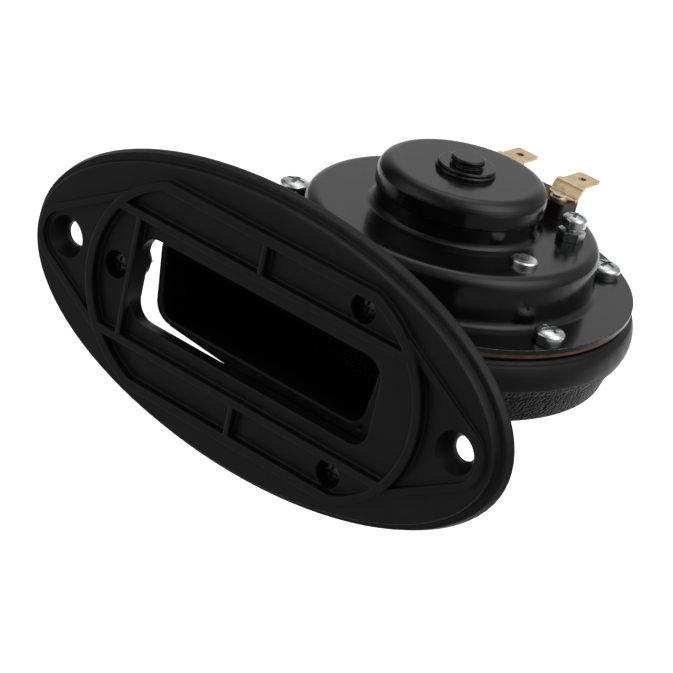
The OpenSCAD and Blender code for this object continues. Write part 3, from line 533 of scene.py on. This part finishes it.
def cutStrip(outline, holes, end):
    # the flat strip as points and faces, with a grid of points in it so that it can bend
    step = spade["mesh"]
    clear = step * spade["meshClear"]
    turns = [i * math.tau / spade["holeSides"] for i in range(spade["holeSides"])]
    loops = [finer(outline, step)]
    loops += [[(middle + r * math.cos(a), r * math.sin(a)) for a in turns] for middle, r in holes]
    points, edges = [], []
    for loop in loops:
        first = len(points)
        points += loop
        edges += [(first + i, first + (i + 1) % len(loop)) for i in range(len(loop))]
    rows = math.ceil(spade["footWidth"] / 2 / step)
    for i in range(int((end + spade["tongue"]) / step)):
        for j in range(-rows, rows + 1):
            spot = (i * step - spade["tongue"] + step / 2, j * step)
            offHoles = all(math.dist(spot, (m, 0)) > r + clear for m, r in holes)
            if offHoles and inside(spot, outline) and min(math.dist(spot, q) for q in loops[0]) > clear:
                points.append(spot)
    spots = [Vector(q) for q in points]
    flatPoints, _, faces, *_ = delaunay_2d_cdt(spots, edges, [], 0, spade["cutPrecision"])
    kept = []
    for face in faces:
        middle = sum((flatPoints[i] for i in face), Vector((0, 0))) / len(face)
        offHoles = all((middle - Vector((m, 0))).length > r * spade["holeShare"] for m, r in holes)
        if offHoles and inside(middle, outline):
            kept.append(face)
    return flatPoints, kept


def bentStrip(flatPoints, faces, place, x):
    # two bent layers of the flat faces, joined along every open edge
    bm = bmesh.new()
    layers = []
    for lift in (spade["thick"] / 2, -spade["thick"] / 2):
        layer = []
        for u, v in flatPoints:
            y, z, slope = place(u)
            layer.append(bm.verts.new((x + v, y - lift * math.sin(slope), z + lift * math.cos(slope))))
        layers.append(layer)
    top, under = layers
    border = {}
    for face in faces:
        bm.faces.new([top[i] for i in face])
        bm.faces.new([under[i] for i in reversed(face)])
        for a, b in zip(face, list(face[1:]) + [face[0]]):
            key = (min(a, b), max(a, b))
            border[key] = None if key in border else (a, b)
    for a, b in filter(None, border.values()):
        bm.faces.new((top[b], top[a], under[a], under[b]))
    loose = [v for v in bm.verts if not v.link_faces]
    bmesh.ops.delete(bm, geom=loose, context="VERTS")
    return bm


def makeSpade(name, node, side):
    place, bladeStart, end = bendPath(side)
    holes = [(0, spade["rivetHole"]), (end - spade["detentFromEnd"], spade["detent"])]
    flatPoints, faces = cutStrip(flatCut(bladeStart, end), holes, end)
    bm = bentStrip(flatPoints, faces, place, side["x"])
    addPiece(name, smoothMesh(name, bm), "horn", node, paleBrass, node)


makeSpade("spadeLeft", "terminal_left", spade["left"])
makeSpade("spadeRight", "terminal_right", spade["right"])
print("terminals bent")


# studio: a pale floor and a dark world with soft glows, low ones round the horn and high ones in front,
# at both sides and behind, which give the dome and the flange their bands of light; the camera sees white

studio = {
    "floorDrop": 0.42,         # the floor lies this far below the plate
    "floorSize": 9.0, "floorTone": 0.42, "floorRough": 0.9,
    "floorGlow": 0.73, "floorReach": 0.8,        # behind the horn the floor glows, more the farther away
    # each glow: degrees above the horizon, degrees round from the camera, strength, and how small it is
    "glows": {
        "behind": (12, 180, 0.8, 7), "rightFront": (12, 60, 0.68, 7), "rightBack": (12, 120, 0.26, 7),
        "leftFront": (12, 300, 1.05, 7), "front": (48, 0, 0.08, 7), "highRight": (56, 72, 2.6, 9),
        "highBehind": (62, 180, 1.6, 26), "highLeft": (48, 275, 0.5, 18),
    },
}
flat = Vector((towardCamera.x, towardCamera.y, 0)).normalized()
across = Vector((-flat.y, flat.x, 0))
white = (1, 1, 1, 1)


def cameraSees(tree):
    return tree.nodes.new("ShaderNodeLightPath").outputs["Is Camera Ray"]


def makeWorld():
    world = bpy.data.worlds.new("studio")
    bpy.context.scene.world = world
    world.use_nodes = True
    tree = world.node_tree
    back = tree.nodes["Background"]
    sky = tree.nodes.new("ShaderNodeTexCoord").outputs["Generated"]
    total = 0.0
    for rise, turn, strength, size in studio["glows"].values():
        rise, turn = math.radians(rise), math.radians(turn)
        middle = (flat * math.cos(turn) + across * math.sin(turn)) * math.cos(rise)
        middle.z = math.sin(rise)
        fade = mathNode(tree, "MULTIPLY_ADD", dotOf(tree, sky, middle), size, -size)
        total = mathNode(tree, "MULTIPLY_ADD", mathNode(tree, "EXPONENT", fade), strength, total)
    back.inputs["Color"].default_value = white
    tree.links.new(mathNode(tree, "MAXIMUM", total, cameraSees(tree)), back.inputs["Strength"])


def makeFloor():
    half = studio["floorSize"] / 2
    z = cadBox[0][2] - studio["floorDrop"]
    corners = [(-half, -half, z), (half, -half, z), (half, half, z), (-half, half, z)]
    mesh = bpy.data.meshes.new("floor")
    mesh.from_pydata(corners, [], [(0, 1, 2, 3)])
    floor = bpy.data.objects.new("floor", mesh)
    bpy.context.collection.objects.link(floor)
    mat, tree, shader = newMaterial("floorWhite")
    tone = studio["floorTone"]
    shader.inputs["Base Color"].default_value = (tone, tone, tone, 1)
    shader.inputs["Roughness"].default_value = studio["floorRough"]
    shader.inputs["Emission Color"].default_value = white
    place = tree.nodes.new("ShaderNodeNewGeometry").outputs["Position"]
    behind = span(tree, dotOf(tree, place, -flat), 0, studio["floorGlow"], 0, studio["floorReach"])
    tree.links.new(mathNode(tree, "MAXIMUM", behind, cameraSees(tree)), shader.inputs["Emission Strength"])
    mesh.materials.append(mat)


makeWorld()
makeFloor()
print("studio lit")

bpy.context.scene.view_settings.view_transform = "Standard"
